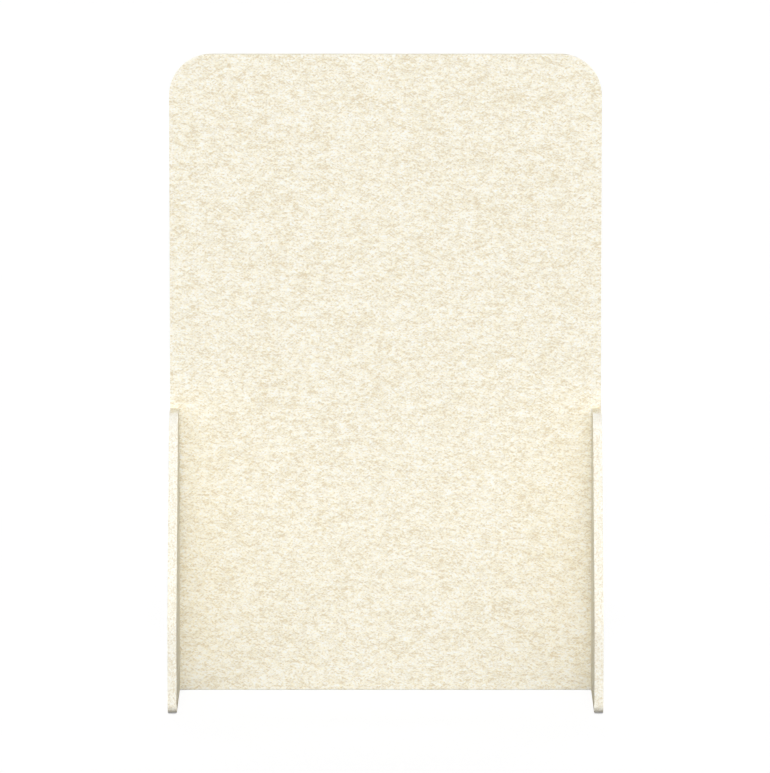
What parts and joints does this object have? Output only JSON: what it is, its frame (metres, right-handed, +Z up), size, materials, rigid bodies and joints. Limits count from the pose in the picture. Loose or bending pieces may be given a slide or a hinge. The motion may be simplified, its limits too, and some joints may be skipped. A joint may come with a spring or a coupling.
{
  "type": "acoustic divider screen",
  "caption": "Free-standing acoustic screen: an upright felt board with rounded top corners between two felt side legs with slanted edges, bolted to its notched sides.",
  "frame": {"origin": "on the floor under the middle of the panel: the middle of the base of the bounding box", "axes": "+X across the screen to the right as seen from its front, -Y out of its front, +Z up"},
  "size_m": [1.2, 0.805, 1.7855],
  "materials": {
    "felt_panel": "matte",
    "felt_leg": "matte",
    "bolt_steel": "satin",
    "washer_steel": "satin",
    "nut_steel": "satin",
    "cap_plastic": "matte",
    "beech": "matte",
    "glide_plastic": "satin"
  },
  "bodies": {
    "root": {"panel": "felt_panel", "left_leg": "felt_leg", "right_leg": "felt_leg", "left_bolts": "bolt_steel", "right_bolts": "bolt_steel", "left_bolt_washers": "washer_steel", "right_bolt_washers": "washer_steel", "left_bolt_caps": "cap_plastic", "right_bolt_caps": "cap_plastic", "left_barrel_nuts": "nut_steel", "right_barrel_nuts": "nut_steel", "left_dowels": "beech", "right_dowels": "beech", "left_front_glide": "glide_plastic", "left_rear_glide": "glide_plastic", "right_front_glide": "glide_plastic", "right_rear_glide": "glide_plastic"}
  },
  "joints": []
}
